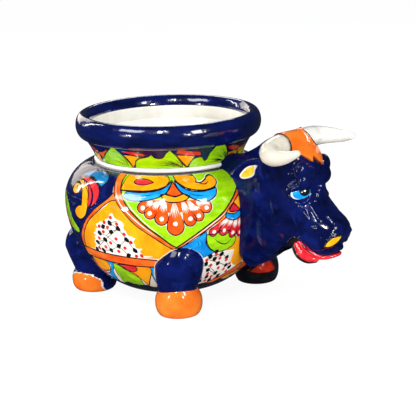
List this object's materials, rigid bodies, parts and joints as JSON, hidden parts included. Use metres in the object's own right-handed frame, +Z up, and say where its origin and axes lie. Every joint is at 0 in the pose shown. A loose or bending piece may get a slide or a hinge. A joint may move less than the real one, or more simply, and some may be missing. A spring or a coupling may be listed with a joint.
{
  "type": "bull planter",
  "caption": "Glazed earthenware planter shaped as a standing bull: a round belly pot with a flared collar and rolled lip on stub legs with hooves, and a hollow horned head.",
  "frame": {"origin": "on the ground under the middle of the whole bull's box", "axes": "+X from the pot towards the head, +Y to the bull's left, +Z up"},
  "size_m": [0.526, 0.3506, 0.3032],
  "materials": {
    "painted_glaze": "gloss",
    "navy_glaze": "gloss",
    "white_glaze": "gloss",
    "orange_glaze": "gloss",
    "red_glaze": "gloss",
    "eye_glaze": "gloss"
  },
  "bodies": {
    "root": {"belly_shell": "painted_glaze", "collar": "painted_glaze", "lip_roll": "navy_glaze", "waist_bead": "white_glaze", "neck_shell": "navy_glaze", "head_shell": "navy_glaze", "eye_left": "eye_glaze", "eye_right": "eye_glaze", "horn_left": "white_glaze", "horn_right": "white_glaze", "ear_left": "navy_glaze", "ear_right": "navy_glaze", "forelock": "orange_glaze", "lower_jaw": "navy_glaze", "tongue": "red_glaze", "front_leg_left": "navy_glaze", "front_leg_right": "navy_glaze", "front_hoof_left": "orange_glaze", "front_hoof_right": "orange_glaze", "rear_leg_left": "navy_glaze", "rear_leg_right": "navy_glaze", "rear_hoof_left": "orange_glaze", "rear_hoof_right": "orange_glaze", "tail": "navy_glaze"}
  },
  "joints": []
}
